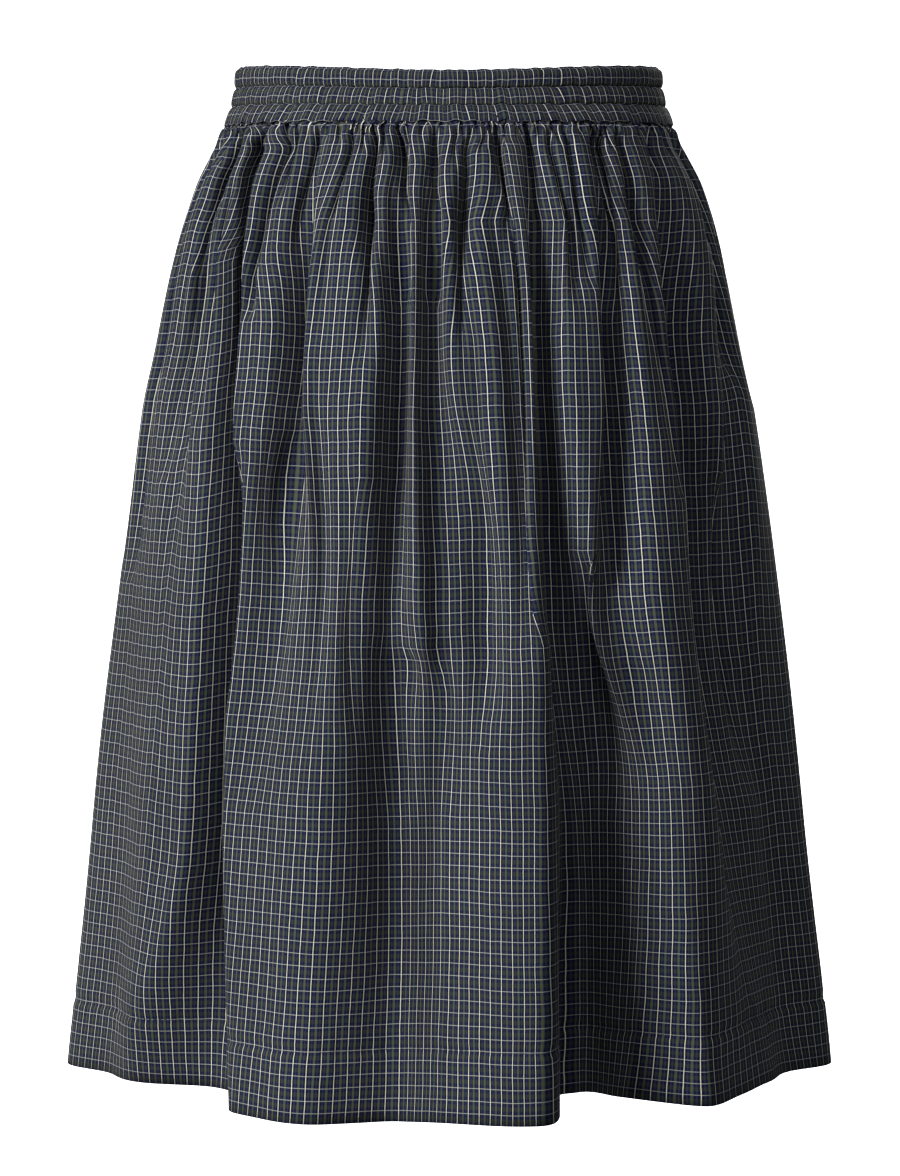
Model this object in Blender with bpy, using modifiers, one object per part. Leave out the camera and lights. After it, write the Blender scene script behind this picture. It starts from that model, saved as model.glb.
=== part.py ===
"""A gathered midi skirt with an elastic waistband, as it stands filled out on an unseen wearer.

The cloth is three walls: the waistband, the front panel and the back panel. The panels are
lofts through level sections. A section is an oval hull with troughs pressed into it, and each
trough is one row of a fold table. Front is -Y, up is +Z, and the origin is the middle of the
waist opening, half way down the band.
"""
from typing import NamedTuple

import bpy
import numpy as np

# Driving sizes in metres. A drop is a depth below the band's top edge at the side seams.
CLOTH_WALL = 0.0015
SEAM_GAP = 0.0003
TOP_EDGE_RISE = 0.0005
WAIST_DROP = 0.019
BAND_DROP = 0.038
HEM_DROP = 0.657
TOP_HALF_WIDTH = 0.140
TOP_HALF_DEPTH = 0.105

# The band: three elastic channels, puffed between the rows of stitching
CHANNELS = 3
BAND_INNER_WALL = 0.0012
BAND_OUTER_WALL = 0.0011
CHANNEL_PUFF = 0.0010
BAND_FLARE_POWER = 2.2
BAND_INSET = 0.0015

# The top edge and the seam dip at the front and rise a little behind
TOP_DIP = (0.007, 0.004)
SEAM_DIP = (0.0058, 0.0008)

# Fine gathers that the seam makes on each panel, and how soon they fade below it
GATHERS_PER_PANEL = 36
GATHER_HEIGHT = 0.0021
GATHER_FADE = 0.024

# Mesh counts
BAND_COLUMNS = 72
TOP_COLUMNS = 144
COARSER = 2
SAMPLES = 2401

# How far each row of the loft lies below the seam, as a share of the panel's height
TOP_ROWS = (0.0, 0.012, 0.027, 0.046, 0.070)
LOWER_ROWS = (0.105, 0.155, 0.215, 0.285, 0.365, 0.455, 0.550, 0.650, 0.755, 0.870, 1.0)


class Section(NamedTuple):
    """The oval hull at one drop: half its width, and half its depth in front and behind."""
    drop: float
    half_width: float
    front_depth: float
    back_depth: float


SECTIONS = (
    Section(0.038, 0.1480, 0.121, 0.119),
    Section(0.055, 0.1534, 0.129, 0.127),
    Section(0.082, 0.1668, 0.142, 0.139),
    Section(0.122, 0.1790, 0.155, 0.151),
    Section(0.190, 0.1910, 0.169, 0.164),
    Section(0.228, 0.1980, 0.176, 0.171),
    Section(0.360, 0.2090, 0.193, 0.188),
    Section(0.492, 0.2176, 0.205, 0.200),
    Section(0.656, 0.2214, 0.2172, 0.211),
)

# The drops at which the fold table gives its angles, depths and widths
STATIONS = (0.045, 0.080, 0.190, 0.340, 0.490, 0.656)
HIP = 2


class Fold(NamedTuple):
    """One long trough of a panel; a negative depth is a ridge.

    Angles are degrees from the panel's middle, to the right as one faces it. Depths are
    millimetres in from the hull, and left and right are the flanks' widths in degrees. Each has
    a value at each of the six stations.
    """
    name: str
    angles: tuple
    depths: tuple
    left: tuple
    right: tuple


FRONT_FOLDS = (
    Fold("left seam ridge", (-90, -90, -90, -90, -90, -90), (0, 0, -3, -9, -17, -30),
         (8, 8, 10, 10, 9, 8), (8, 8, 10, 10, 9, 8)),
    Fold("left side", (-67, -66, -62.5, -62, -62, -62), (1, 7, 10, 2, 0, 0),
         (3, 3, 3, 4, 4, 4), (3, 3, 2.6, 4, 4, 4)),
    Fold("left deep", (-59, -57.5, -51.2, -47.0, -47.2, -52), (1, 9, 32, 36, 46, 47),
         (3, 2.6, 2.5, 3.0, 2.6, 15), (3, 3, 2.4, 2.4, 3.6, 10.4)),
    Fold("left inner", (-38, -37, -34.4, -32.6, -34, -36), (1, 8, 27, 5, 0, 0),
         (3, 3.5, 3.2, 5, 8, 8), (3, 3.0, 2.2, 4, 8, 8)),
    Fold("left lobe", (-26, -26, -26, -23, -22.5, -23.5), (0, 0, 0, -5, -9, -11),
         (7, 7, 8, 8, 9, 9), (7, 7, 6, 4.5, 4.6, 5.5)),
    Fold("front left", (-15, -12.8, -10.6, -11.6, -8.8, -8.0), (1, 6, 20, 25, 26, 13),
         (3, 2.4, 3.2, 4.4, 6.2, 6.2), (3, 2.4, 2.0, 4.0, 16, 17)),
    Fold("centre", (-4, -4, -3.6, -1.0, -0.6, -1.4), (1, 6, 18, 13, 9, 0),
         (3, 2.6, 2.4, 3.4, 5, 6), (3, 2.6, 3.0, 9, 7, 8)),
    Fold("right lobe", (15, 15, 15.4, 15.6, 15.4, 14.4), (0, 0, -3, -5, -4, -9),
         (8, 8, 8, 8, 7, 12), (3.4, 3.4, 3.4, 3.4, 3.6, 4.2)),
    Fold("front right", (22, 22, 21, 21.8, 29.5, 36.2), (1, 6, 22, 31, 52, 83),
         (3, 2.6, 2.2, 3.2, 8.5, 15), (3, 2.8, 2.8, 5.2, 8.0, 7.2)),
    Fold("right inner", (43, 41, 37.4, 34.6, 38, 42), (1, 6, 26, 20, 4, 0),
         (3, 3, 2.8, 4.8, 6, 7), (3, 3, 2.8, 3.2, 6, 7)),
    Fold("right ridge", (47, 46, 45, 44, 45.5, 46.5), (0, 0, -3, -7, -8, -6),
         (6, 6, 7, 8, 9, 8), (5, 5, 5, 5.4, 6.4, 7)),
    Fold("right deep", (64, 61, 55.5, 57, 62, 68), (1, 7, 32, 30, 20, 5),
         (3, 3.5, 4.0, 5.6, 7, 8), (3, 3.5, 5.2, 6.5, 7, 8)),
    Fold("right side", (80, 80, 74, 69, 74, 80), (1, 6, 14, 11, 7, 0),
         (4, 4, 5, 5, 5, 5), (4, 4, 5, 5, 5, 5)),
    Fold("right seam ridge", (90, 90, 90, 90, 90, 90), (0, 0, -3, -9, -17, -30),
         (8, 8, 10, 10, 9, 8), (8, 8, 10, 10, 9, 8)),
)

BACK_FOLDS = (
    Fold("right seam ridge", (-90, -90, -90, -90, -90, -90), (0, 0, -3, -9, -17, -30),
         (8, 8, 10, 10, 9, 8), (8, 8, 10, 10, 9, 8)),
    Fold("right outer", (-77, -76, -70, -66, -63, -61), (1, 4, 17, 20, 20, 22),
         (4, 4, 4.5, 5, 7, 10), (4, 4, 4.5, 5, 6, 7)),
    Fold("right deep", (-53, -52, -50, -46, -42, -38), (1, 5, 29, 34, 40, 50),
         (3, 3.5, 5, 5, 6, 7), (3, 3.5, 4.5, 6, 9, 12)),
    Fold("right inner", (-34, -33, -30, -28, -26, -25), (1, 5, 28, 17, 5, 0),
         (3, 3.5, 5.0, 6, 7, 7), (3, 3.5, 4.0, 5, 7, 7)),
    Fold("back right", (-14, -14, -15, -12, -9, -6), (1, 5, 28, 30, 26, 20),
         (3, 3.5, 4.0, 5, 6, 7), (3, 3.5, 5.0, 7, 9, 12)),
    Fold("back left", (6, 6, 8, 10, 12, 13), (1, 5, 24, 14, 5, 0),
         (3, 3.5, 4.0, 5, 6, 6), (3, 3.5, 4.6, 5.5, 6, 6)),
    Fold("left inner", (26, 27, 28, 30, 31, 33), (1, 5, 29, 34, 42, 54),
         (3, 3.5, 5.0, 6, 10, 14), (3, 3.5, 4.0, 4.5, 6, 8)),
    Fold("left deep", (48, 46, 45, 48, 52, 54), (1, 5, 28, 18, 9, 2),
         (3, 3.5, 4.5, 5, 7, 7), (3, 3.5, 5.2, 6, 7, 7)),
    Fold("left outer", (69, 67, 64, 63, 65, 68), (1, 5, 25, 26, 24, 16),
         (3, 3.5, 5.0, 5.5, 6, 7), (3, 3.5, 5.4, 6, 8, 9)),
    Fold("left seam ridge", (90, 90, 90, 90, 90, 90), (0, 0, -3, -9, -17, -30),
         (8, 8, 10, 10, 9, 8), (8, 8, 10, 10, 9, 8)),
)


class Tuck(NamedTuple):
    """A short trough between long ones: its place, its depth, and the drop where it ends."""
    place: float
    depth: float
    end_drop: float


FRONT_TUCKS = (
    Tuck(-79, 7, 0.190), Tuck(-69, 6, 0.140), Tuck(-45, 10, 0.175), Tuck(-40, 6, 0.115),
    Tuck(-28, 8, 0.165), Tuck(-19, 12, 0.200), Tuck(5, 10, 0.190), Tuck(13, 8, 0.150),
    Tuck(27, 9, 0.120), Tuck(32, 7, 0.110), Tuck(43, 9, 0.130), Tuck(48.5, 8, 0.130),
    Tuck(65, 10, 0.150), Tuck(82, 6, 0.140),
)

BACK_TUCKS = (
    Tuck(-81, 7, 0.150), Tuck(-64, 9, 0.150), Tuck(-57, 7, 0.120), Tuck(-41, 10, 0.180),
    Tuck(-23, 10, 0.150), Tuck(-6, 12, 0.200), Tuck(1, 7, 0.120), Tuck(14, 9, 0.150),
    Tuck(21, 7, 0.115), Tuck(36, 11, 0.190), Tuck(52, 10, 0.150), Tuck(57, 6, 0.115),
    Tuck(72, 8, 0.150), Tuck(82, 6, 0.125),
)

# A trough's flanks: deep ones have a flat bottom, shallow ones a round one
LEAST_POWER = 2.0
POWER_DEPTH = 0.035
LEAST_FLANK = 3.0

TUCK_PEAK_DROP = 0.080
TUCK_START = 2.0
TUCK_WIDTH = 2.2
SIDE_EASE = 0.25
MILLIMETRE = 0.001


def smooth_between(at, stations, values):
    """Read a table smoothly: a cubic through its rows, with no overshoot between them."""
    stations = np.asarray(stations, float)
    values = np.asarray(values, float)
    step = np.diff(stations)
    slope = np.diff(values) / step
    inner = np.zeros(len(values) - 2)
    same_way = slope[:-1] * slope[1:] > 0.0
    inner[same_way] = 2.0 / (1.0 / slope[:-1][same_way] + 1.0 / slope[1:][same_way])
    tangent = np.concatenate(([slope[0]], inner, [slope[-1]]))
    at = np.clip(at, stations[0], stations[-1])
    row = np.clip(np.searchsorted(stations, at, side="right") - 1, 0, len(step) - 1)
    share = (at - stations[row]) / step[row]
    return (values[row] * (1 + 2 * share) * (1 - share) ** 2
            + values[row + 1] * share ** 2 * (3 - 2 * share)
            + step[row] * tangent[row] * share * (1 - share) ** 2
            - step[row] * tangent[row + 1] * share ** 2 * (1 - share))


def hull_radius(angle, half_width, half_depth):
    """Plan radius of the oval hull at an angle from the panel's middle."""
    return 1.0 / np.hypot(np.sin(angle) / half_width, np.cos(angle) / half_depth)


def trough(place, centre, left, right, depth):
    """Depth of a trough: all of it at the bottom, falling to nothing on both flanks."""
    width = np.where(place < centre, left, right)
    power = LEAST_POWER + abs(depth) / POWER_DEPTH
    return depth * np.exp(-np.abs((place - centre) / width) ** power)


def column_angle(place, drop, folds):
    """Angle of a column at a drop: it stays between the same two folds from seam to hem.

    A column is named by its place, which is its angle in degrees at the hip.
    """
    at_hip = [fold.angles[HIP] for fold in folds]
    here = [smooth_between(drop, STATIONS, fold.angles) for fold in folds]
    return smooth_between(place, at_hip, here)


def section(place, drop, back):
    """Plan angle and radius of the cloth at a drop: the hull less all its troughs."""
    folds = BACK_FOLDS if back else FRONT_FOLDS
    tucks = BACK_TUCKS if back else FRONT_TUCKS
    degrees = column_angle(place, drop, folds)
    angle = np.radians(degrees)
    drops = [row.drop for row in SECTIONS]
    half_width = smooth_between(drop, drops, [row.half_width for row in SECTIONS])
    depths = [row.back_depth if back else row.front_depth for row in SECTIONS]
    radius = hull_radius(angle, half_width, smooth_between(drop, drops, depths))
    for fold in folds:
        centre, depth, left, right = (
            smooth_between(drop, STATIONS, row)
            for row in (fold.angles, fold.depths, fold.left, fold.right))
        left, right = max(left, LEAST_FLANK), max(right, LEAST_FLANK)
        radius = radius - trough(degrees, centre, left, right, depth * MILLIMETRE)
    for tuck in tucks:
        depth = smooth_between(drop, (BAND_DROP, TUCK_PEAK_DROP, tuck.end_drop, HEM_DROP),
                               (TUCK_START, tuck.depth, 0.0, 0.0)) * MILLIMETRE
        radius = radius - trough(place, tuck.place, TUCK_WIDTH, TUCK_WIDTH, depth)
    return angle, radius


def run_length(x, y):
    """Length of cloth along a section, from its left end to each of its points."""
    return np.concatenate(([0.0], np.cumsum(np.hypot(np.diff(x), np.diff(y)))))


def column_places(columns, back):
    """Places that share the cloth out evenly, averaged over a few drops."""
    place = np.linspace(-90.0, 90.0, SAMPLES)
    share = np.zeros(SAMPLES)
    for drop in STATIONS[1:-1]:
        angle, radius = section(place, drop, back)
        length = run_length(radius * np.sin(angle), radius * np.cos(angle))
        share += length / length[-1] / len(STATIONS[1:-1])
    return np.interp(np.linspace(0.0, 1.0, columns + 1), share, place)


def top_drop(angle):
    """Drop of the band's top edge; the angle is from centre front."""
    front = np.cos(angle)
    return TOP_DIP[0] * front + TOP_DIP[1] * front ** 2


def seam_drop(angle):
    """Drop of the seam between the band and the panels; the angle is from centre front."""
    front = np.cos(angle)
    return BAND_DROP + SEAM_DIP[0] * front + SEAM_DIP[1] * front ** 2


def gather_wave(across):
    """Height of the fine gathers along the cloth, uneven from one to the next."""
    turn = 2 * np.pi * across
    uneven = 1.0 + 0.35 * np.sin(5 * turn + 0.7) + 0.25 * np.sin(11 * turn + 2.1)
    drift = 0.5 * np.sin(3 * turn + 1.3)
    return GATHER_HEIGHT * uneven * np.cos(GATHERS_PER_PANEL * turn + drift)


def panel_row(share, places, back):
    """Points of one row of a panel, at a share of the way from the seam down to the hem."""
    angle, radius = section(places, BAND_DROP + share * (HEM_DROP - BAND_DROP), back)
    x = radius * np.sin(angle)
    y = radius * np.cos(angle)
    run_x = np.gradient(x)
    run_y = np.gradient(y)
    run = np.hypot(run_x, run_y)
    across = np.linspace(0.0, 1.0, len(places))
    seam = seam_drop(np.pi - angle if back else angle) + SEAM_GAP + TOP_EDGE_RISE
    drop = seam + share * (HEM_DROP - seam)
    wave = gather_wave(across) * np.exp(-((drop - seam) / GATHER_FADE) ** 2)
    wave = wave * np.sin(np.pi * across) ** SIDE_EASE
    x = x - run_y / run * wave
    y = y + run_x / run * wave + SEAM_GAP / 2
    side = -1.0 if back else 1.0
    return np.column_stack((side * x, -side * y, WAIST_DROP - drop))


def panel_mesh(name, back):
    """Loft a panel: fine columns through the gathers, then half as many down to the hem."""
    places = column_places(TOP_COLUMNS, back)
    rows = [panel_row(share, places, back) for share in TOP_ROWS]
    rows += [panel_row(share, places, back)[::COARSER] for share in LOWER_ROWS]
    starts = np.cumsum([0] + [len(row) for row in rows])
    faces = []
    for upper in range(len(rows) - 1):
        above, below = int(starts[upper]), int(starts[upper + 1])
        step = (len(rows[upper]) - 1) // (len(rows[upper + 1]) - 1)
        for column in range(len(rows[upper + 1]) - 1):
            rim = range(above + (column + 1) * step, above + column * step - 1, -1)
            faces.append([below + column, below + column + 1, *rim])
    mesh = bpy.data.meshes.new(name)
    mesh.from_pydata(np.concatenate(rows).tolist(), [], faces)
    mesh.update()
    return mesh


def band_profile():
    """The band's closed wall section: height share from the top, and how far out it lies."""
    outer = []
    per_channel = 3
    for step in range(CHANNELS * per_channel + 1):
        share = step / (CHANNELS * per_channel)
        puff = abs(np.sin(np.pi * CHANNELS * share)) ** 0.6
        outer.append((share, BAND_OUTER_WALL + CHANNEL_PUFF * puff))
    inner = [(share, -BAND_INNER_WALL) for share in (1.0, 0.66, 0.33, 0.0)]
    return outer + inner


def band_mesh(name):
    """Sweep the wall section round the waist, from the top oval out to the seam oval."""
    angle = np.linspace(0.0, 2 * np.pi, BAND_COLUMNS, endpoint=False)
    front = np.cos(angle) > 0.0
    top = top_drop(angle)
    seam = seam_drop(angle)
    seam_row = SECTIONS[0]
    seam_depth = np.where(front, seam_row.front_depth, seam_row.back_depth)
    rings = []
    for share, out in band_profile():
        flare = share ** BAND_FLARE_POWER
        half_width = TOP_HALF_WIDTH + (seam_row.half_width - TOP_HALF_WIDTH) * flare
        half_depth = TOP_HALF_DEPTH + (seam_depth - TOP_HALF_DEPTH) * flare
        radius = hull_radius(angle, half_width, half_depth) + out - BAND_INSET
        drop = top + share * (seam - top)
        rings.append(np.column_stack((radius * np.sin(angle), -radius * np.cos(angle),
                                      WAIST_DROP - drop)))
    faces = []
    for ring in range(len(rings)):
        here, there = ring * BAND_COLUMNS, (ring + 1) % len(rings) * BAND_COLUMNS
        for column in range(BAND_COLUMNS):
            beside = (column + 1) % BAND_COLUMNS
            faces.append([here + column, there + column, there + beside, here + beside])
    mesh = bpy.data.meshes.new(name)
    mesh.from_pydata(np.concatenate(rings).tolist(), [], faces)
    mesh.update()
    return mesh


def cloth_material(name):
    """Small dark check cotton, as its mean colour."""
    material = bpy.data.materials.new(name)
    material.use_nodes = True
    shader = material.node_tree.nodes["Principled BSDF"]
    shader.inputs["Base Color"].default_value = (0.055, 0.060, 0.070, 1.0)
    shader.inputs["Roughness"].default_value = 0.85
    shader.inputs["Metallic"].default_value = 0.0
    return material


def add_piece(name, mesh, collection, wall):
    """Put a piece in the collection; an open panel gets its wall from Solidify."""
    piece = bpy.data.objects.new(name, mesh)
    collection.objects.link(piece)
    mesh.materials.append(cloth_material(name + "_cotton"))
    mesh.shade_smooth()
    if wall:
        solidify = piece.modifiers.new("wall", "SOLIDIFY")
        solidify.thickness = wall
        solidify.offset = 0.0
    return piece


def main():
    """Model the skirt."""
    for old in list(bpy.data.objects):
        bpy.data.objects.remove(old, do_unlink=True)
    collection = bpy.data.collections.new("gathered_midi_skirt")
    bpy.context.scene.collection.children.link(collection)
    add_piece("waistband", band_mesh("waistband"), collection, 0.0)
    add_piece("front_panel", panel_mesh("front_panel", False), collection, CLOTH_WALL)
    add_piece("back_panel", panel_mesh("back_panel", True), collection, CLOTH_WALL)


main()
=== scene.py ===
"""Looks of a gathered midi skirt in a small dark check, standing open as if worn.

The cloth shells repeat the form of the solids with finer columns, and add the gathers and the
small relief of the sewing: channels, puckers, hem and creases. Every pattern follows the cloth
through a UV map that is measured in metres of cloth. Front is -Y, up is +Z, and the origin is
the middle of the waist opening, half way down the band. Sizes are metres unless a name says
otherwise, and a drop is a depth below the band's top edge at the side seams.
"""
import logging
from dataclasses import dataclass, field
from enum import Enum
from typing import NamedTuple

import bpy
import numpy as np
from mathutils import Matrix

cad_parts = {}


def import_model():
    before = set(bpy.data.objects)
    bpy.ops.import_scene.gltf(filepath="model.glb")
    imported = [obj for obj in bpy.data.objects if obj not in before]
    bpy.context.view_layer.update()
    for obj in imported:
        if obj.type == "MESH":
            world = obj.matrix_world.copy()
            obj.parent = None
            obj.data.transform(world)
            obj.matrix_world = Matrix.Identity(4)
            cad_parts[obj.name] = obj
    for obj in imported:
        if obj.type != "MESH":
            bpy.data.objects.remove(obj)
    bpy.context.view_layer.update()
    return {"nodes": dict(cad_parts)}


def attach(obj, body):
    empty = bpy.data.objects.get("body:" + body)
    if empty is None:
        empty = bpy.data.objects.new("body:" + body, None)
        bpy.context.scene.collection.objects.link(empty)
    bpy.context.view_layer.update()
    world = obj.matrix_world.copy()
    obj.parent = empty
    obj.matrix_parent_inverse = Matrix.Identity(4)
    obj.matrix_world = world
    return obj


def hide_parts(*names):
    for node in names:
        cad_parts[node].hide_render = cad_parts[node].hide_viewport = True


LOG = logging.getLogger("skirt")
MILLIMETRE = 0.001
FULL_TURN = 2 * np.pi
TINY = 1e-12
CLOTH_UV = "cloth"

Array = np.ndarray
Tree = bpy.types.NodeTree
Socket = bpy.types.NodeSocket


class Side(Enum):
    """Which half of the skirt a panel makes."""
    FRONT = "front"
    BACK = "back"


class Section(NamedTuple):
    """The oval hull at one drop: half its width, and half its depth in front and behind."""
    drop: float
    half_width: float
    front_depth: float
    back_depth: float


class Fold(NamedTuple):
    """One long trough of a panel; a negative depth is a ridge.

    Angles are degrees from the panel's middle, to the right as one faces it. Depths are
    millimetres in from the hull. The left and right flanks' widths are degrees. Each has one
    number for each of the six stations.
    """
    name: str
    angles: tuple
    depths: tuple
    left: tuple
    right: tuple


class Gather(NamedTuple):
    """A gather between the long folds: its place, in degrees at the hip, the drop down to
    which it is tight, and the share of that tightness it keeps to the hem."""
    place: float
    reach: float
    rest: float = 0.0


class Crease(NamedTuple):
    """A soft crease: its middle across and down the cloth, as shares of the panel,
    its length and half-width in metres, its depth in millimetres (a ridge where negative), and
    how far it leans, in metres across for each metre down."""
    across: float
    down: float
    length: float
    half_width: float
    depth: float
    lean: float


class Wave(NamedTuple):
    """A wave across a panel: how often it repeats, its height and its phase."""
    repeats: int
    height: float
    phase: float

    def at(self, column: Array) -> Array:
        """Height of the sine at each column's angle."""
        return self.height * np.sin(self.repeats * column + self.phase)


class Light(NamedTuple):
    """A square soft light: its name, place, side in metres, watts and tint."""
    name: str
    place: tuple
    size: float
    power: float
    tint: tuple


SECTIONS = (
    Section(0.038, 0.1480, 0.121, 0.119),
    Section(0.055, 0.1534, 0.129, 0.127),
    Section(0.082, 0.1668, 0.142, 0.139),
    Section(0.122, 0.1790, 0.155, 0.151),
    Section(0.190, 0.1910, 0.169, 0.164),
    Section(0.228, 0.1980, 0.176, 0.171),
    Section(0.360, 0.2090, 0.193, 0.188),
    Section(0.492, 0.2176, 0.205, 0.200),
    Section(0.656, 0.2228, 0.2172, 0.211),
)

STATIONS = (0.045, 0.080, 0.190, 0.340, 0.490, 0.656)
HIP = 2

LIGHTS = (
    Light("key", (-4.15, -3.45, 1.8), 2.4, 428.0, (1.0, 1.0, 1.0)),
    Light("top", (0.3, -1.2, 1.0), 0.8, 6.0, (0.97, 0.98, 1.0)),
    Light("back", (1.42, 4.37, 1.5), 2.0, 130.0, (1.0, 1.0, 1.0)),
)


def seam_ridge(name: str, angle: float) -> Fold:
    """The ridge that stands out along a side seam, more so towards the hem."""
    flank = (8, 8, 10, 10, 9, 8)
    return Fold(name, (angle,) * len(STATIONS), (0, 0, -3, -9, -17, -30), flank, flank)


FRONT_FOLDS = (
    seam_ridge("left seam ridge", -90),
    Fold("left side", (-67, -66, -62.5, -62, -63, -71), (1, 7, 10, 2, 0, 0),
         (3, 3, 3, 4, 4, 4), (3, 3, 2.6, 4, 4, 4)),
    Fold("left deep", (-59, -57.5, -51.2, -47.0, -47.2, -52), (1, 9, 32, 36, 46, 47),
         (3, 2.6, 2.5, 3.0, 2.6, 15), (3, 3, 2.4, 2.4, 3.6, 10.4)),
    Fold("left inner", (-38, -37, -34.4, -32.6, -34, -36), (1, 8, 27, 5, 0, 0),
         (3, 3.5, 3.2, 5, 8, 8), (3, 3.0, 2.2, 4, 8, 8)),
    Fold("left lobe", (-26, -26, -26, -23, -22.5, -23.5), (0, 0, 0, -5, -9, -11),
         (7, 7, 8, 8, 9, 9), (7, 7, 6, 4.5, 4.6, 5.5)),
    Fold("front left", (-15, -12.8, -10.6, -11.6, -8.8, -8.0), (1, 6, 20, 25, 26, 13),
         (3, 2.4, 3.2, 4.4, 6.2, 6.2), (3, 2.4, 2.0, 4.0, 16, 17)),
    Fold("centre", (-4, -4, -3.6, -1.0, -0.6, -1.4), (1, 6, 18, 13, 9, 0),
         (3, 2.6, 2.4, 3.4, 5, 6), (3, 2.6, 3.0, 9, 7, 8)),
    Fold("right lobe", (15, 15, 15.4, 15.6, 15.4, 14.4), (0, 0, -3, -5, -4, -9),
         (8, 8, 8, 8, 7, 12), (3.4, 3.4, 3.4, 3.4, 3.6, 4.2)),
    Fold("front right", (22, 22, 21, 21.8, 29.5, 36.2), (1, 6, 22, 31, 52, 83),
         (3, 2.6, 2.2, 3.2, 8.5, 15), (3, 2.8, 2.8, 5.2, 8.0, 7.2)),
    Fold("right inner", (43, 41, 37.4, 34.6, 38, 42), (1, 6, 26, 20, 4, 0),
         (3, 3, 2.8, 4.8, 6, 7), (3, 3, 2.8, 3.2, 6, 7)),
    Fold("right ridge", (47, 46, 45, 44, 45.5, 46.5), (0, 0, -3, -7, -8, -6),
         (6, 6, 7, 8, 9, 8), (5, 5, 5, 5.4, 6.4, 7)),
    Fold("right deep", (64, 61, 55.5, 57, 62, 68), (1, 7, 32, 30, 20, 5),
         (3, 3.5, 4.0, 5.6, 7, 8), (3, 3.5, 5.2, 6.5, 7, 8)),
    Fold("right side", (80, 80, 74, 69, 74, 80), (1, 6, 14, 11, 7, 0),
         (4, 4, 5, 5, 5, 5), (4, 4, 5, 5, 5, 5)),
    seam_ridge("right seam ridge", 90),
)

BACK_FOLDS = (
    seam_ridge("right seam ridge", -90),
    Fold("right outer", (-77, -76, -70, -66, -63, -61), (1, 4, 17, 20, 20, 22),
         (4, 4, 4.5, 5, 7, 10), (4, 4, 4.5, 5, 6, 7)),
    Fold("right deep", (-53, -52, -50, -46, -42, -38), (1, 5, 29, 34, 40, 50),
         (3, 3.5, 5, 5, 6, 7), (3, 3.5, 4.5, 6, 9, 12)),
    Fold("right inner", (-34, -33, -30, -28, -26, -25), (1, 5, 28, 17, 5, 0),
         (3, 3.5, 5.0, 6, 7, 7), (3, 3.5, 4.0, 5, 7, 7)),
    Fold("back right", (-14, -14, -15, -12, -9, -6), (1, 5, 28, 30, 26, 20),
         (3, 3.5, 4.0, 5, 6, 7), (3, 3.5, 5.0, 7, 9, 12)),
    Fold("back left", (6, 6, 8, 10, 12, 13), (1, 5, 24, 14, 5, 0),
         (3, 3.5, 4.0, 5, 6, 6), (3, 3.5, 4.6, 5.5, 6, 6)),
    Fold("left inner", (26, 27, 28, 30, 31, 33), (1, 5, 29, 34, 42, 54),
         (3, 3.5, 5.0, 6, 10, 14), (3, 3.5, 4.0, 4.5, 6, 8)),
    Fold("left deep", (48, 46, 45, 48, 52, 54), (1, 5, 28, 18, 9, 2),
         (3, 3.5, 4.5, 5, 7, 7), (3, 3.5, 5.2, 6, 7, 7)),
    Fold("left outer", (69, 67, 64, 63, 65, 68), (1, 5, 25, 26, 24, 16),
         (3, 3.5, 5.0, 5.5, 6, 7), (3, 3.5, 5.4, 6, 8, 9)),
    seam_ridge("left seam ridge", 90),
)

FRONT_GATHERS = tuple(Gather(*row) for row in (
    (-86, 0.070), (-79, 0.170, 0.3), (-73, 0.070), (-68, 0.150, 0.1), (-62.5, 0.100), (-53, 0.130),
    (-49, 0.062), (-44, 0.165, 0.2), (-40, 0.100), (-35, 0.120), (-31, 0.060), (-28, 0.110), (-24, 0.066),
    (-19, 0.180, 0.1), (-15, 0.070), (-10.6, 0.110), (-8, 0.070), (-4, 0.110), (0.5, 0.075),
    (5.0, 0.190, 0.05), (9.5, 0.066), (13.4, 0.110), (17, 0.062), (21.4, 0.110), (26, 0.120, 0.1),
    (29, 0.060), (32, 0.120, 0.15), (38, 0.110), (41.5, 0.110, 0.1), (45, 0.062), (48.5, 0.130, 0.2),
    (55, 0.110), (60, 0.066), (65, 0.150, 0.3), (69, 0.064), (73.5, 0.120, 0.1), (80, 0.120, 0.3),
    (86, 0.066),
))

BACK_GATHERS = tuple(Gather(*row) for row in (
    (-86, 0.066), (-81, 0.150, 0.3), (-76, 0.070), (-70, 0.130, 0.3), (-64, 0.150, 0.3), (-57, 0.120, 0.2),
    (-54, 0.062), (-50, 0.130, 0.2), (-45, 0.068), (-41, 0.180, 0.4), (-36, 0.062), (-30, 0.150, 0.4),
    (-26, 0.066), (-22, 0.150, 0.3), (-18, 0.070), (-15, 0.130, 0.2), (-10, 0.064), (-6, 0.200, 0.4),
    (0, 0.120, 0.1), (4, 0.062), (8, 0.150, 0.4), (14, 0.150, 0.3), (19, 0.070), (23, 0.115, 0.1),
    (28, 0.130, 0.2), (32, 0.066), (37, 0.190, 0.4), (41, 0.062), (45, 0.150, 0.4), (50, 0.130, 0.2),
    (54, 0.115, 0.1), (59, 0.066), (64, 0.130, 0.2), (69, 0.070), (74, 0.150, 0.3), (79, 0.064),
    (84, 0.125, 0.3),
))

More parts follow.
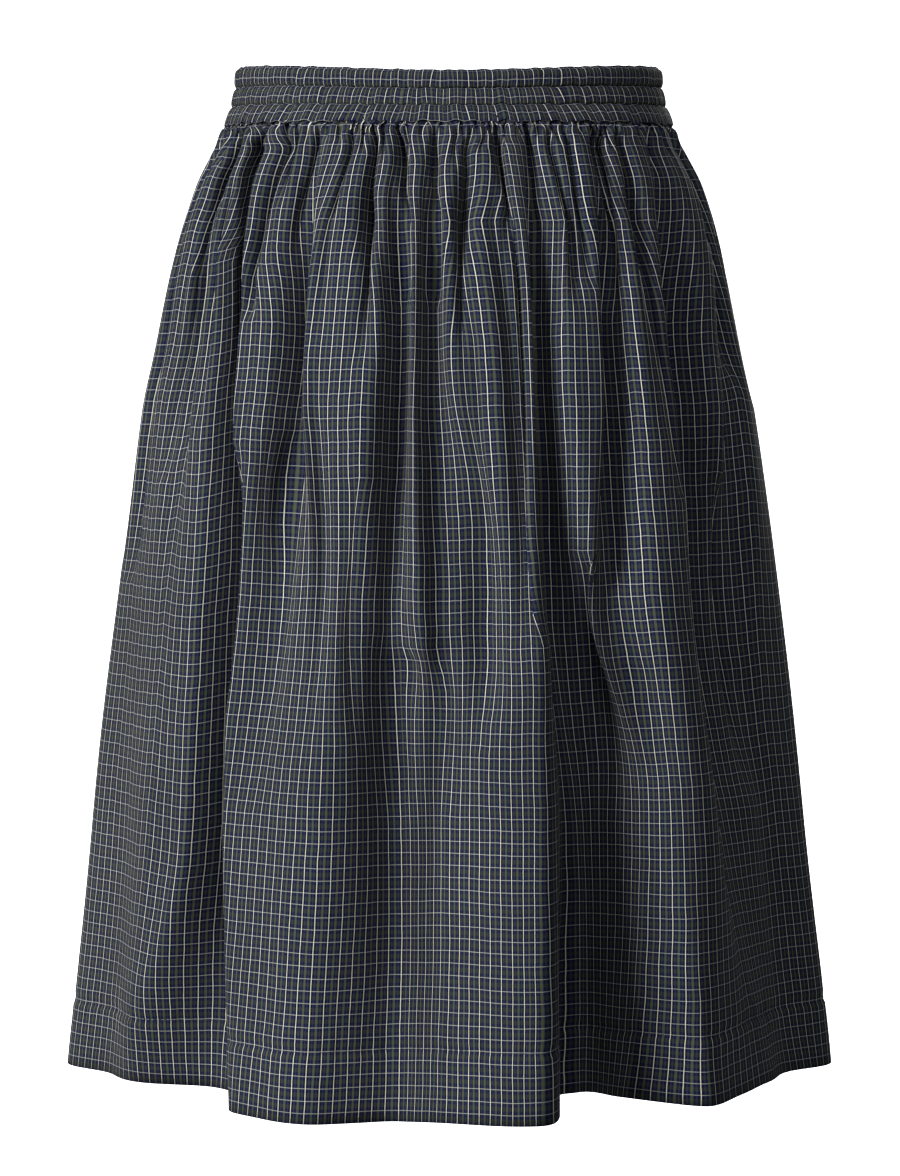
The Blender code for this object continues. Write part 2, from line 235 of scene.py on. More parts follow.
FRONT_CREASES = tuple(Crease(*row) for row in (
    (0.11, 0.34, 0.16, 0.010, 1.2, 0.20), (0.07, 0.62, 0.22, 0.014, -1.0, -0.12),
    (0.15, 0.80, 0.20, 0.012, 1.0, 0.06), (0.30, 0.66, 0.26, 0.012, 0.9, -0.10),
    (0.36, 0.86, 0.18, 0.010, -0.8, 0.05), (0.52, 0.45, 0.20, 0.008, 0.9, 0.08),
    (0.57, 0.72, 0.24, 0.011, 0.8, -0.05), (0.62, 0.30, 0.14, 0.008, 1.0, 0.12),
    (0.80, 0.58, 0.22, 0.012, 1.1, 0.10), (0.88, 0.78, 0.24, 0.013, 1.0, 0.05),
    (0.94, 0.50, 0.18, 0.010, -0.9, -0.08),
))

BACK_CREASES = tuple(Crease(*row) for row in (
    (0.09, 0.42, 0.18, 0.011, 1.1, -0.15), (0.17, 0.72, 0.24, 0.013, 1.0, 0.08),
    (0.31, 0.52, 0.20, 0.010, -0.9, 0.06), (0.44, 0.80, 0.22, 0.012, 1.0, -0.06),
    (0.55, 0.38, 0.16, 0.009, 1.0, 0.12), (0.66, 0.68, 0.24, 0.012, 0.9, -0.08),
    (0.79, 0.48, 0.20, 0.011, 1.1, 0.10), (0.90, 0.76, 0.20, 0.012, -1.0, 0.05),
))


def smooth_between(at: Array, stations: tuple, values: Array) -> Array:
    """Read a table smoothly: a cubic through its rows, with no overshoot between them.

    Args:
        at: Where to read, one number or many.
        stations: The table's rising positions.
        values: The table's values; several rows of values give several rows of results.

    Returns:
        The values at each place, with one row for each row of values.
    """
    stations = np.asarray(stations, float)
    values = np.asarray(values, float)
    step = np.diff(stations)
    slope = np.diff(values, axis=-1) / step
    before, after = slope[..., :-1], slope[..., 1:]
    same_way = before * after > 0.0
    total = np.where(same_way, before + after, 1.0)
    inner = np.where(same_way, 2.0 * before * after / total, 0.0)
    tangent = np.concatenate((slope[..., :1], inner, slope[..., -1:]), axis=-1)
    at = np.clip(at, stations[0], stations[-1])
    row = np.clip(np.searchsorted(stations, at, side="right") - 1, 0, len(step) - 1)
    share = (at - stations[row]) / step[row]
    return (values[..., row] * (1 + 2 * share) * (1 - share) ** 2
            + values[..., row + 1] * share ** 2 * (3 - 2 * share)
            + step[row] * tangent[..., row] * share * (1 - share) ** 2
            - step[row] * tangent[..., row + 1] * share ** 2 * (1 - share))


def smooth_step(value: Array) -> Array:
    """Ease from 0 to 1 as the value goes from 0 to 1."""
    value = np.clip(value, 0.0, 1.0)
    return value * value * (3.0 - 2.0 * value)


def running_total(steps: Array) -> Array:
    """Running total along the last axis, from 0 before the first step."""
    return np.concatenate((np.zeros_like(steps[..., :1]), np.cumsum(steps, axis=-1)), axis=-1)


def unit(vectors: Array) -> Array:
    """Bring vectors, which lie along the last axis, to a length of 1."""
    return vectors / np.maximum(np.linalg.norm(vectors, axis=-1, keepdims=True), TINY)


def grid_normals(points: Array) -> Array:
    """Unit normals of a grid of points: the cross of its directions down and along."""
    return unit(np.cross(np.gradient(points, axis=0), np.gradient(points, axis=1)))


def grid_faces(rows: int, columns: int, wrap_rows: bool = False,
               wrap_columns: bool = False) -> Array:
    """Quads of a grid of points, closed on itself in either direction if asked.

    Args:
        rows: Number of point rows.
        columns: Number of points in a row.
        wrap_rows: Join the last row to the first.
        wrap_columns: Join the last column to the first.

    Returns:
        An array of four point numbers for each quad.
    """
    row = np.arange(rows if wrap_rows else rows - 1)[:, None]
    column = np.arange(columns if wrap_columns else columns - 1)[None, :]
    below, beside = (row + 1) % rows, (column + 1) % columns
    corners = (row * columns + column, below * columns + column,
               below * columns + beside, row * columns + beside)
    return np.stack(corners, axis=-1).reshape(-1, 4)


def place_object(name: str, data: bpy.types.ID) -> bpy.types.Object:
    """Make an object of a mesh, light or camera.

    Args:
        name: The object's name.
        data: What it shows.

    Returns:
        The new object, linked to the scene, at the origin.
    """
    item = bpy.data.objects.new(name, data)
    bpy.context.scene.collection.objects.link(item)
    return item


def mesh_object(name: str, points: Array, quads: Array,
                uv: Array | None = None) -> bpy.types.Object:
    """Make a smooth-shaded mesh object at the origin.

    Args:
        name: The piece's name.
        points: Its points, three numbers each.
        quads: Four point numbers for each face.
        uv: Cloth position in metres at each face corner, where the piece has one.

    Returns:
        The new object, linked to the scene.
    """
    mesh = bpy.data.meshes.new(name)
    mesh.vertices.add(len(points))
    mesh.vertices.foreach_set("co", np.ascontiguousarray(points, np.float32).ravel())
    mesh.loops.add(quads.size)
    mesh.loops.foreach_set("vertex_index", quads.astype(np.int32).ravel())
    mesh.polygons.add(len(quads))
    mesh.polygons.foreach_set("loop_start", np.arange(0, quads.size, 4, dtype=np.int32))
    mesh.update(calc_edges=True)
    if uv is not None:
        layer = mesh.uv_layers.new(name=CLOTH_UV)
        layer.data.foreach_set("uv", np.ascontiguousarray(uv, np.float32).ravel())
    mesh.validate()
    mesh.shade_smooth()
    return place_object(name, mesh)


@dataclass(frozen=True)
class SkirtForm:
    """The form that the solids hold: an oval hull less its troughs, at every drop.

    A drop is a depth below the band's top edge at the side seams.
    """
    waist_drop: float = 0.019
    band_drop: float = 0.038
    hem_drop: float = 0.657
    top_half_width: float = 0.140
    top_half_depth: float = 0.105
    flare_power: float = 2.2
    top_dip: tuple = (0.007, 0.004)
    seam_dip: tuple = (0.0058, 0.0008)
    least_power: float = 2.0
    power_depth: float = 0.035
    samples: int = 2401
    small_reach: tuple = (0.047, 0.060)
    seed: int = 11

    def folds(self, side: Side) -> tuple:
        """The long folds of a panel."""
        return FRONT_FOLDS if side is Side.FRONT else BACK_FOLDS

    def gathers(self, side: Side) -> tuple:
        """The gathers of a panel, with a small one between each two that ends near the seam.

        Args:
            side: Front or back panel.

        Returns:
            The placed gathers, then the small ones.
        """
        table = FRONT_GATHERS if side is Side.FRONT else BACK_GATHERS
        reach = np.random.default_rng(self.seed).uniform(*self.small_reach, len(table) - 1)
        small = tuple(Gather((one.place + other.place) / 2, float(end), 0.0)
                      for one, other, end in zip(table[:-1], table[1:], reach))
        return table + small

    def from_front(self, angle: Array, side: Side) -> Array:
        """Turn an angle from the panel's middle into one from centre front."""
        return angle if side is Side.FRONT else np.pi - angle

    def hull_radius(self, angle: Array, half_width: Array,
                    half_depth: Array) -> Array:
        """Plan radius of an oval at an angle from its middle."""
        return 1.0 / np.hypot(np.sin(angle) / half_width, np.cos(angle) / half_depth)

    def trough(self, place: Array, centre: Array, left: Array,
               right: Array, depth: Array) -> Array:
        """Depth of a trough: deep ones have a flat bottom, shallow ones a round one.

        Args:
            place: Degrees at each column.
            centre: Degrees at the bottom, for each drop.
            left: Width of the left flank in degrees, for each drop.
            right: Width of the right flank.
            depth: Depth at the bottom in metres.

        Returns:
            Depths in metres, a row for each drop.
        """
        width = np.where(place < centre[:, None], left[:, None], right[:, None])
        power = self.least_power + np.abs(depth) / self.power_depth
        away = np.abs((place - centre[:, None]) / width)
        return depth[:, None] * np.exp(-away ** power[:, None])

    def section(self, place: Array, drop: Array,
                side: Side) -> tuple[Array, Array]:
        """Plan angle and radius of the cloth, a row for each drop.

        A column is named by its place, which is its angle in degrees at the hip, and it stays
        between the same two folds from seam to hem. The radius is the hull less all troughs.

        Args:
            place: The columns' places in degrees.
            drop: The rows' drops.
            side: Front or back panel.

        Returns:
            Angles from the panel's middle in radians, and radii in metres.
        """
        folds = self.folds(side)
        at_hip = tuple(fold.angles[HIP] for fold in folds)
        here = np.stack([smooth_between(drop, STATIONS, fold.angles) for fold in folds], axis=-1)
        degrees = smooth_between(place, at_hip, here)
        angle = np.radians(degrees)
        drops = tuple(row.drop for row in SECTIONS)
        width = smooth_between(drop, drops, [row.half_width for row in SECTIONS])
        depths = [row.front_depth if side is Side.FRONT else row.back_depth for row in SECTIONS]
        depth = smooth_between(drop, drops, depths)
        radius = self.hull_radius(angle, width[:, None], depth[:, None])
        for fold in folds:
            centre, fold_depth, left, right = (
                smooth_between(drop, STATIONS, row)
                for row in (fold.angles, fold.depths, fold.left, fold.right))
            radius = radius - self.trough(degrees, centre, left, right,
                                          fold_depth * MILLIMETRE)
        return angle, radius

    def column_places(self, columns: int, side: Side) -> Array:
        """Places that share the cloth out evenly, averaged over a few drops.

        Args:
            columns: Number of gaps between columns.
            side: Front or back panel.

        Returns:
            One more place than there are gaps, in degrees.
        """
        place = np.linspace(-90.0, 90.0, self.samples)
        angle, radius = self.section(place, np.array(STATIONS[1:-1]), side)
        share = self.run_length(radius * np.sin(angle), radius * np.cos(angle))
        share = (share / share[:, -1:]).mean(axis=0)
        return np.interp(np.linspace(0.0, 1.0, columns + 1), share, place)

    def run_length(self, x: Array, y: Array) -> Array:
        """Length of cloth along each row, from its left end to each of its points."""
        return running_total(np.hypot(np.diff(x, axis=1), np.diff(y, axis=1)))

    def top_drop(self, angle: Array) -> Array:
        """Drop of the band's top edge; the angle is from centre front."""
        front = np.cos(angle)
        return self.top_dip[0] * front + self.top_dip[1] * front ** 2

    def seam_drop(self, angle: Array) -> Array:
        """Drop of the waist seam; the angle is from centre front."""
        front = np.cos(angle)
        return self.band_drop + self.seam_dip[0] * front + self.seam_dip[1] * front ** 2

    def band_radius(self, angle: Array, share: Array) -> Array:
        """Plan radius of the band, from its top oval out to the seam oval.

        Args:
            angle: Angle from centre front.
            share: How far down the band, 0 at the top edge and 1 at the seam.

        Returns:
            Radius of the middle of the band's wall.
        """
        seam = SECTIONS[0]
        seam_depth = np.where(np.cos(angle) > 0.0, seam.front_depth, seam.back_depth)
        flare = share ** self.flare_power
        half_width = self.top_half_width + (seam.half_width - self.top_half_width) * flare
        half_depth = self.top_half_depth + (seam_depth - self.top_half_depth) * flare
        return self.hull_radius(angle, half_width, half_depth)


@dataclass(frozen=True)
class GatherStage:
    """Gathers a length of cloth onto a shorter line, without losing any of it.

    Each gather is a narrow slot: from both sides the cloth turns inwards, steepest beside the
    bottom and level again at the rims. Along the cloth the line advances by the cosine of that
    slope and goes in by its sine, so that yarns keep their distance. Under the band the slots
    are shallower than that, and below it a little deeper.
    """
    reach_of_pull: float = 0.034
    least_share: float = 0.012
    least_width: float = 0.0040
    widening: float = 0.055
    steepest: float = 1.56
    bottom: float = 0.10
    fade: float = 0.85
    lean_across: float = 0.10
    lean_length: float = 0.11
    seam_share: float = 0.5
    seam_fade: float = 0.009
    deepening: float = 1.35
    seam_depth: float = 0.5
    ends: float = 0.48
    ending: float = 0.26
    lean_steps: int = 60
    along_steps: int = 161
    seed: int = 3

    def slope(self, along: Array) -> Array:
        """Share of a slot's steepest slope, at a share of its half-width from the bottom."""
        return np.tanh(along / self.bottom) * np.clip(1.0 - along ** 2, 0.0, None)

    def tables(self) -> tuple[Array, Array, Array]:
        """Half a slot, for steepest slopes from none to the limit, out from its bottom.

        Returns:
            The steepest slopes; the cloth taken up between the bottom and each place, and the
            depth left there, both as shares of the half-width.
        """
        lean = np.linspace(0.0, self.steepest, self.lean_steps)
        along = np.linspace(0.0, 1.0, self.along_steps)
        slope = lean[:, None] * self.slope(along)
        taken = self.sum_along(1.0 - np.cos(slope), along)
        fallen = self.sum_along(np.sin(slope), along)
        return lean, taken, fallen[:, -1:] - fallen

    def read(self, table: Array, lean: Array, along: Array) -> Array:
        """Read a table of half slots between its entries, in both directions.

        Args:
            table: One of the tables.
            lean: Steepest slope of each slot.
            along: Share of the half-width from the slot's bottom.

        Returns:
            The table's value for each slot and place.
        """
        high = lean / self.steepest * (self.lean_steps - 1)
        wide = np.clip(np.abs(along), 0.0, 1.0) * (self.along_steps - 1)
        row = np.clip(high.astype(int), 0, self.lean_steps - 2)
        column = np.clip(wide.astype(int), 0, self.along_steps - 2)
        up, over = high - row, wide - column
        low = table[row, column] * (1 - over) + table[row, column + 1] * over
        top = table[row + 1, column] * (1 - over) + table[row + 1, column + 1] * over
        return low * (1 - up) + top * up

    def tightness(self, gathers: tuple, drop: Array, band_drop: float) -> Array:
        """How much of the spare cloth each gather claims.

        Args:
            gathers: The panel's gathers.
            drop: The rows' drops.
            band_drop: The drop of the seam.

        Returns:
            A claim for each gather, a row for each drop.
        """
        reach = np.array([gather.reach for gather in gathers])
        rest = np.array([gather.rest for gather in gathers])
        share = (reach - drop[:, None]) / ((reach - band_drop) * self.fade)
        return rest + self.least_share + (1.0 - rest) * smooth_step(share)

    def leaning(self, middles: Array, drop: Array, band_drop: float) -> Array:
        """Let the gathers wander aside a little on the way down, each its own way.

        Args:
            middles: Metres of cloth up to each gather at the seam.
            drop: The rows' drops.
            band_drop: The drop of the seam.

        Returns:
            Metres of cloth up to each gather, a row for each drop.
        """
        aside = np.random.default_rng(self.seed).uniform(-1.0, 1.0, len(middles))
        down = np.clip(drop - band_drop, 0.0, self.lean_length)
        return middles + self.lean_across * aside * down[:, None]

    def lay(self, cloth: Array, length: Array, drop: Array, middles: Array,
            tightness: Array, pins: Array,
            band_drop: float) -> tuple[Array, Array]:
        """Share out the spare cloth between the gathers, and lay the cloth along its line.

        Args:
            cloth: Metres of cloth up to each column.
            length: Metres of the line up to each column, a row for each drop.
            drop: The rows' drops.
            middles: Metres of cloth up to each gather.
            tightness: How much each gather claims, a row for each drop.
            pins: Metres of cloth up to each long fold.
            band_drop: The drop of the seam.

        Returns:
            Metres along the line, and metres in from it, a row for each drop.
        """
        step = np.gradient(cloth)
        spare = 1.0 - np.gradient(length, axis=1) / step
        middles = self.leaning(middles, drop, band_drop)[:, None, :]
        away = (cloth[:, None] - middles) / self.reach_of_pull
        pull = tightness[:, None, :] * np.exp(-away ** 2)
        pull = pull / pull.sum(axis=2, keepdims=True)
        taken = np.maximum(np.einsum("rc,rcg->rg", spare * step, pull), 0.0)
        taken = taken * smooth_step((self.ends - drop[:, None]) / self.ending)
        leans, taken_table, depth_table = self.tables()
        least = self.least_width + self.widening * (drop[:, None] - band_drop)
        width = np.maximum(least, taken / (2.0 * taken_table[-1, -1]))
        lean = np.interp(taken / (2.0 * width), taken_table[:, -1], leans)
        eased = smooth_step((drop - band_drop) / self.seam_fade)[:, None]
        lean = lean * (self.seam_share + (1.0 - self.seam_share) * eased)
        along = (cloth[:, None] - middles) / width[:, None, :]
        lean, wide = np.broadcast_arrays(lean[:, None, :], width[:, None, :])
        lean = np.broadcast_to(lean, along.shape)
        half = self.read(taken_table, lean, np.ones_like(along))
        part = self.read(taken_table, lean, along)
        line = cloth - (wide * (half + np.sign(along) * part)).sum(axis=2)
        depth = (wide * self.read(depth_table, lean, along)).sum(axis=2)
        depth = depth * (self.seam_depth + (self.deepening - self.seam_depth) * eased)
        return line + self.pull_back(cloth, line, length, pins), depth

    def sum_along(self, rate: Array, cloth: Array) -> Array:
        """Running total of a rate along the cloth."""
        return running_total((rate[:, 1:] + rate[:, :-1]) / 2 * np.diff(cloth))

    def pull_back(self, cloth: Array, line: Array, length: Array,
                  pins: Array) -> Array:
        """Shift that brings the cloth at the long folds back to the folds' own places."""
        miss = length - line
        return np.stack([np.interp(cloth, pins, np.interp(pins, cloth, row)) for row in miss])


def ripple(turn: Array, waves: tuple, seed: int, least: float = 0.6,
           stretch: float = 1.6) -> Array:
    """Uneven ripples round a closed line: a sum of whole waves with seeded phases.

    Args:
        turn: Angle round the line, in radians.
        waves: How many times each wave repeats in a turn.
        seed: Starts the random phases and heights.
        least: Height of the lowest wave that can be drawn, where the highest is 1.
        stretch: Brings the mean of the waves up to about -1 to 1.

    Returns:
        Heights between about -1 and 1.
    """
    random = np.random.default_rng(seed)
    phase = random.uniform(0.0, FULL_TURN, len(waves))
    height = random.uniform(least, 1.0, len(waves))
    waves = np.asarray(waves, float)
    total = (height * np.sin(waves * turn[..., None] + phase)).sum(axis=-1)
    return total / height.sum() * stretch


def add_node(tree: Tree, kind: str, inputs: dict, **options: object) -> bpy.types.Node:
    """Add a shader node, set its options, then fill its inputs.

    Args:
        tree: The material's node tree.
        kind: The node's type, without the word ShaderNode before it.
        inputs: A value or another node's socket, for each named or numbered input.
        options: The node's own options.

    Returns:
        The new node.
    """
    node = tree.nodes.new("ShaderNode" + kind)
    for option, value in options.items():
        setattr(node, option, value)
    for name, value in inputs.items():
        if isinstance(value, Socket):
            tree.links.new(value, node.inputs[name])
        else:
            node.inputs[name].default_value = value
    return node


def maths(tree: Tree, operation: str, *values: Socket | float) -> Socket:
    """Result of a Math node whose inputs are sockets or numbers."""
    return add_node(tree, "Math", dict(enumerate(values)), operation=operation).outputs[0]


def cloth_noise(tree: Tree, uv: Socket, scale: float, detail: float) -> bpy.types.Node:
    """Noise over the cloth, with a scale in waves to the metre."""
    inputs = {"Vector": uv, "Scale": scale, "Detail": detail}
    return add_node(tree, "TexNoise", inputs, noise_dimensions="2D")


def link_bump(tree: Tree, shader: bpy.types.Node, height: Socket, strength: float,
              distance: float) -> None:
    """Give a shader a bump, whose distance is in metres."""
    bump = add_node(tree, "Bump", {"Height": height, "Strength": strength, "Distance": distance})
    tree.links.new(bump.outputs["Normal"], shader.inputs["Normal"])


def new_material(name: str) -> tuple[bpy.types.Material, Tree, bpy.types.Node]:
    """Start a material.

    Args:
        name: The finish's name.

    Returns:
        The material, its node tree and its Principled shader.
    """
    material = bpy.data.materials.new(name)
    material.use_nodes = True
    tree = material.node_tree
    return material, tree, tree.nodes["Principled BSDF"]


@dataclass(frozen=True)
class CheckCotton:
    """Yarn-dyed cotton in a small check: cream lines on navy, with mauve and olive between."""
    name: str = "check_cotton"
    repeat: float = 0.0073
    yarn: float = 0.00034
    cream: tuple = (0.98, 0.96, 0.76)
    weft_cream: tuple = (0.56, 0.58, 0.49)
    ink: tuple = (0.001, 0.002, 0.007)
    navy: tuple = (0.004, 0.007, 0.046)
    mauve: tuple = (0.038, 0.042, 0.072)
    dusk: tuple = (0.006, 0.010, 0.026)
    olive: tuple = (0.120, 0.132, 0.076)
    moss: tuple = (0.028, 0.036, 0.034)
    roughness: float = 0.86
    shine: float = 0.08
    fuzz: float = 0.02
    fuzz_roughness: float = 0.5
    # Below 1, shade darkens the whole cloth as painted shade.
    shade: float = 1.0
    warp_share: float = 0.46
    bright_share: float = 0.34
    over_share: float = 0.14
    wander_scale: float = 24.0
    wander_reach: float = 0.0016
    wear_scale: float = 11.0
    wear: float = 0.30
    slub_scale: float = 420.0
    weave_height: float = 0.35
    bump_strength: float = 0.35
    bump_distance: float = 0.00025

    def mirrored(self, half: tuple) -> tuple:
        """Complete one repeat from the first half of its colours."""
        return half + tuple((1.0 - at, colour) for at, colour in reversed(half[:-1]))

    def warp_stops(self) -> tuple:
        """Colours across one repeat of the warp, from one cream line to the next."""
        return self.mirrored((
            (0.0, self.cream), (0.012, self.cream), (0.037, self.ink), (0.14, self.ink),
            (0.20, self.mauve), (0.27, self.mauve), (0.32, self.dusk), (0.39, self.dusk),
            (0.44, self.olive), (0.5, self.olive)))

    def weft_stops(self) -> tuple:
        """Colours down one repeat of the weft, from one pale line to the next."""
        return self.mirrored((
            (0.0, self.weft_cream), (0.012, self.weft_cream), (0.040, self.navy),
            (0.29, self.navy), (0.36, self.moss), (0.5, self.moss)))

    def build(self) -> bpy.types.Material:
        """Make the material: warp and weft stripes mixed by the weave, with a fine bump.

        The warp's share of the colour rises with its own brightness, and where it lies over
        the weft.

        Returns:
            The finished material, which reads the cloth UV map.
        """
        material, tree, shader = new_material(self.name)
        shader.inputs["Roughness"].default_value = self.roughness
        shader.inputs["Specular IOR Level"].default_value = self.shine
        shader.inputs["Sheen Weight"].default_value = self.fuzz
        shader.inputs["Sheen Roughness"].default_value = self.fuzz_roughness
        uv = add_node(tree, "UVMap", {}, uv_map=CLOTH_UV).outputs["UV"]
        axes = add_node(tree, "SeparateXYZ", {0: self.wander(tree, uv)})
        across, down = axes.outputs["X"], axes.outputs["Y"]
        warp = self.stripe(tree, across, self.warp_stops())
        weft = self.stripe(tree, down, self.weft_stops())
        over = maths(tree, "MULTIPLY", self.wave(tree, across), self.wave(tree, down))
        bright = add_node(tree, "RGBToBW", {0: warp}).outputs[0]
        favour = maths(tree, "MULTIPLY_ADD", bright, self.bright_share, self.warp_share)
        share = maths(tree, "MULTIPLY_ADD", over, self.over_share, favour)
        mix = add_node(tree, "Mix", {"Factor": share, "A": weft, "B": warp},
                       data_type="RGBA", clamp_factor=True)
        wear_and_shade = self.wear_and_shade(tree, mix.outputs["Result"], uv)
        tree.links.new(wear_and_shade, shader.inputs["Base Color"])
        slub = cloth_noise(tree, uv, self.slub_scale, detail=2.0).outputs["Fac"]
        height = maths(tree, "MULTIPLY_ADD", over, self.weave_height, slub)
        link_bump(tree, shader, height, self.bump_strength, self.bump_distance)
        return material

    def wander(self, tree: Tree, uv: Socket) -> Socket:
        """Shift the pattern a little by slow noise, so that no yarn runs dead straight.

        Args:
            tree: The material's node tree.
            uv: Socket with the cloth position.

        Returns:
            Socket with the shifted position.
        """
        noise = cloth_noise(tree, uv, self.wander_scale, detail=3.0).outputs["Color"]
        centred = add_node(tree, "VectorMath", {0: noise, 1: (0.5, 0.5, 0.5)},
                           operation="SUBTRACT").outputs[0]
        reach = (self.wander_reach, self.wander_reach, 0.0)
        return add_node(tree, "VectorMath", {0: centred, 1: reach, 2: uv},
                        operation="MULTIPLY_ADD").outputs[0]

    def stripe(self, tree: Tree, along: Socket, stops: tuple) -> Socket:
        """Repeat a row of coloured stripes along one direction of the cloth.

        Args:
            tree: The material's node tree.
            along: Socket with the position in metres.
            stops: Position within the repeat and colour, in order.

        Returns:
            The stripes' colour socket.
        """
        phase = maths(tree, "FRACT", maths(tree, "DIVIDE", along, self.repeat))
        ramp = add_node(tree, "ValToRGB", {0: phase})
        elements = ramp.color_ramp.elements
        for end in (0, -1):
            elements[end].position = stops[end][0]
            elements[end].color = (*stops[end][1], 1.0)
        for at, colour in stops[1:-1]:
            elements.new(at).color = (*colour, 1.0)
        return ramp.outputs["Color"]

    def wave(self, tree: Tree, along: Socket) -> Socket:
        """Rise and fall once for every two yarns."""
        return maths(tree, "SINE", maths(tree, "MULTIPLY", along, float(np.pi / self.yarn)))

    def wear_and_shade(self, tree: Tree, colour: Socket, uv: Socket) -> Socket:
        """Vary the colour's value slightly over a hand's width, as washed cotton does, and darken it all
        by the shade factor, which paints shade where it is below 1.

        Args:
            tree: The material's node tree.
            colour: The new cloth's colour.
            uv: Socket with the cloth position.

        Returns:
            The worn cloth's colour socket.
        """
        noise = cloth_noise(tree, uv, self.wear_scale, detail=4.0).outputs["Fac"]
        # Wear noise times the shade factor; a shade below 1 is painted shade.
        value = maths(tree, "MULTIPLY_ADD", noise, self.wear * self.shade,
                      (1.0 - self.wear / 2) * self.shade)
        hue = add_node(tree, "HueSaturation", {"Value": value, "Color": colour})
        return hue.outputs["Color"]


@dataclass(frozen=True)
class SewingThread:
    """Dark twisted sewing thread."""
    name: str = "sewing_thread"
    colour: tuple = (0.018, 0.020, 0.034, 1.0)
    roughness: float = 0.6
    fuzz: float = 0.1
    ply: float = 0.0007
    bump_strength: float = 0.5
    bump_distance: float = 0.0001

    def build(self) -> bpy.types.Material:
        """Make the material: dark cotton with slanting ply lines in its bump.

        Returns:
            The finished material, which reads object coordinates.
        """
        material, tree, shader = new_material(self.name)
        shader.inputs["Base Color"].default_value = self.colour
        shader.inputs["Roughness"].default_value = self.roughness
        shader.inputs["Sheen Weight"].default_value = self.fuzz
        where = add_node(tree, "TexCoord", {}).outputs["Object"]
        plies = add_node(tree, "TexWave", {"Vector": where, "Scale": 1.0 / self.ply},
                         bands_direction="DIAGONAL").outputs["Fac"]
        link_bump(tree, shader, plies, self.bump_strength, self.bump_distance)
        return material


